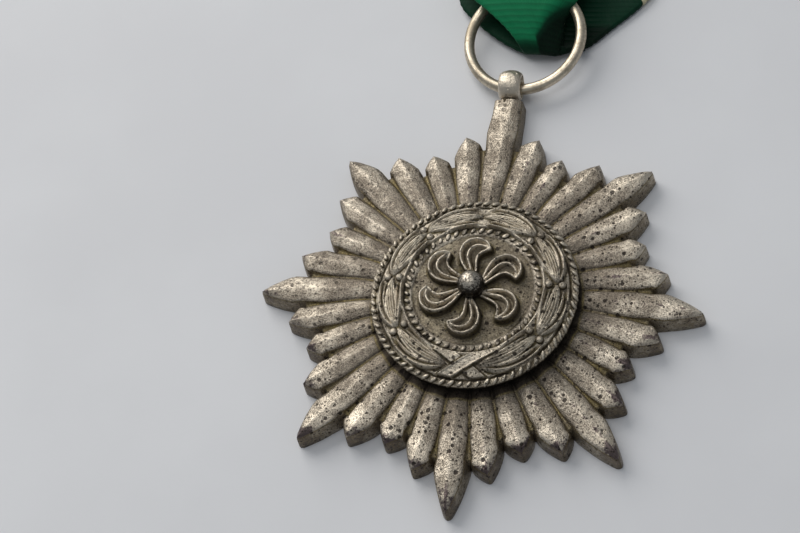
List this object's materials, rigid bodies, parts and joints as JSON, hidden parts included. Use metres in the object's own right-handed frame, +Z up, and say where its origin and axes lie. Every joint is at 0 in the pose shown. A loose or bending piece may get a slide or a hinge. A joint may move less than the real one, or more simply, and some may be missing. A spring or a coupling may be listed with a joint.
{
  "type": "military medal",
  "caption": "Star-shaped cast medal lying on its back, with a domed wreathed disc, an eyelet, a wire ring and a doubled ribbon.",
  "frame": {"origin": "centre of the star's flat back, which lies on the table", "axes": "+Z up out of the medal's face, +Y along the stem towards the ring and the ribbon, +X to the right as the face is read"},
  "size_m": [0.04, 0.0915, 0.0064],
  "materials": {
    "cast_star": "silvered cast metal, worn, pitted and tarnished",
    "cast_disc": "silvered cast metal with dark tarnish in the relief",
    "ring_wire": "silvered wire, smooth, slightly worn",
    "ribbon_cloth": "ribbed green silk ribbon with a cream stripe near each edge"
  },
  "bodies": {
    "root": {"star": "cast_star", "disc": "cast_disc", "ring": "ring_wire", "ribbon": "ribbon_cloth"}
  },
  "joints": []
}
